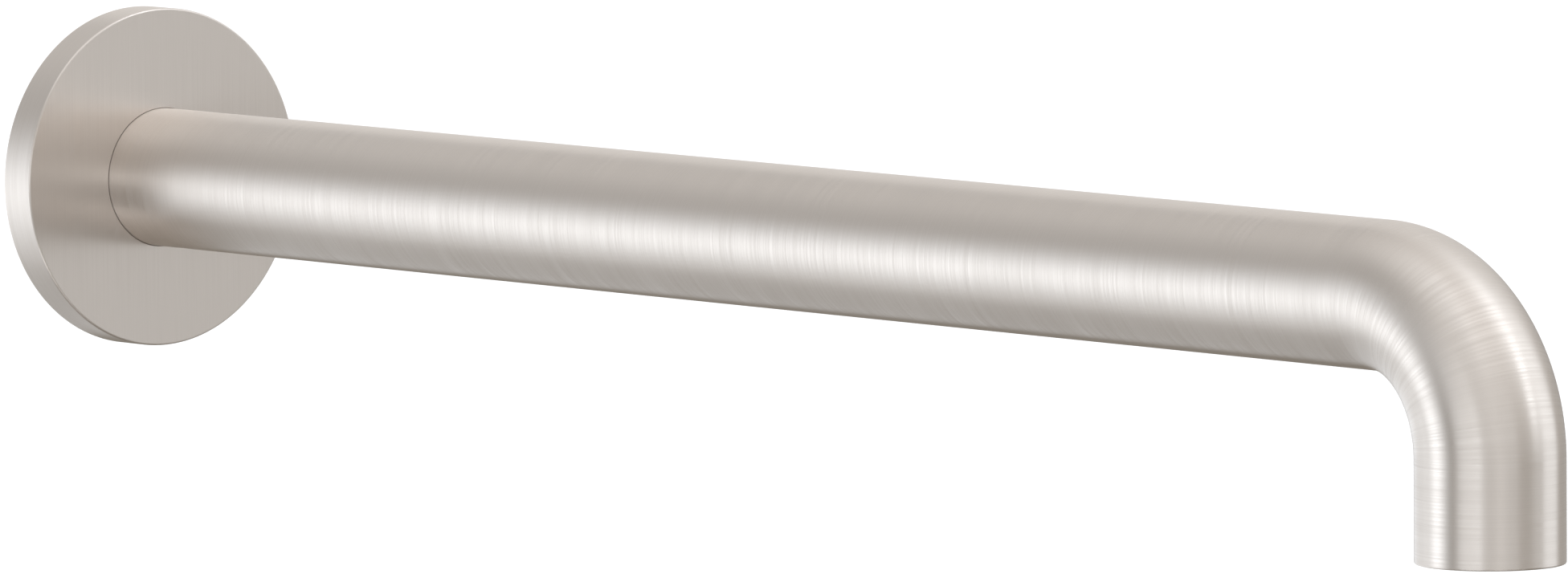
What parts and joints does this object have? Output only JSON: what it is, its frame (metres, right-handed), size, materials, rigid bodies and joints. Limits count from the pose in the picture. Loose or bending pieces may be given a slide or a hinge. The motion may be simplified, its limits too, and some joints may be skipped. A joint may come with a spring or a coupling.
{
  "type": "wall-mounted bath spout",
  "caption": "Long round wall-mounted bath spout, bent down at its end, with a round wall flange, a threaded wall nipple and a recessed aerator.",
  "frame": {"origin": "on the wall's surface, where the arm's axis meets it", "axes": "+Y into the wall along the arm's axis, -Z down towards the outlet, +X to the right of someone facing the wall"},
  "size_m": [0.06, 0.3765, 0.0715],
  "materials": {
    "brushed_nickel": "fine circumferential brushing, warm grey",
    "brass": "as turned",
    "stainless_steel": "plain",
    "black_rubber": "moulded",
    "grey_foam": "closed-cell foam",
    "grey_plastic": "moulded"
  },
  "bodies": {
    "nipple": {"wall_nipple": "brass", "nipple_o_ring_rear": "black_rubber", "nipple_o_ring_front": "black_rubber"},
    "spout": {"spout_tube": "brushed_nickel", "rear_bush": "brass", "outlet_bush": "brass"},
    "lock": {"set_screw": "stainless_steel"},
    "flange_seal": {"flange_o_ring": "black_rubber"},
    "flange": {"wall_flange": "brushed_nickel", "flange_gasket": "grey_foam"},
    "aerator_seal": {"aerator_washer": "black_rubber"},
    "aerator": {"aerator_housing": "grey_plastic", "aerator_grid": "grey_plastic", "aerator_screen_lower": "stainless_steel", "aerator_screen_upper": "stainless_steel", "aerator_diffuser": "grey_plastic", "aerator_strainer": "grey_plastic"}
  },
  "joints": [
    {"name": "spout_turn", "type": "hinge", "parent": "nipple", "child": "spout", "pos_m": [0, 0, 0], "axis": [0, 1, 0], "continuous": true},
    {"name": "set_screw_out", "type": "slide", "parent": "spout", "child": "lock", "axis": [0, 0, -1], "range_m": [0, 0.0024]},
    {"name": "flange_slide", "type": "slide", "parent": "spout", "child": "flange_seal", "axis": [0, -1, 0], "range_m": [0, 0.3]},
    {"name": "flange_turn", "type": "hinge", "parent": "flange_seal", "child": "flange", "pos_m": [0, 0, 0], "axis": [0, 1, 0], "continuous": true},
    {"name": "aerator_drop", "type": "slide", "parent": "spout", "child": "aerator_seal", "axis": [0, 0, -1], "range_m": [0, 0.0095]},
    {"name": "aerator_unscrew", "type": "hinge", "parent": "aerator_seal", "child": "aerator", "pos_m": [0, -0.35, -0.0415], "axis": [0, 0, -1], "range_deg": [0, 3420]}
  ],
  "couplings": [
    {"joint": "aerator_unscrew", "follows": "aerator_drop", "rad_per_m": 6283.2}
  ]
}
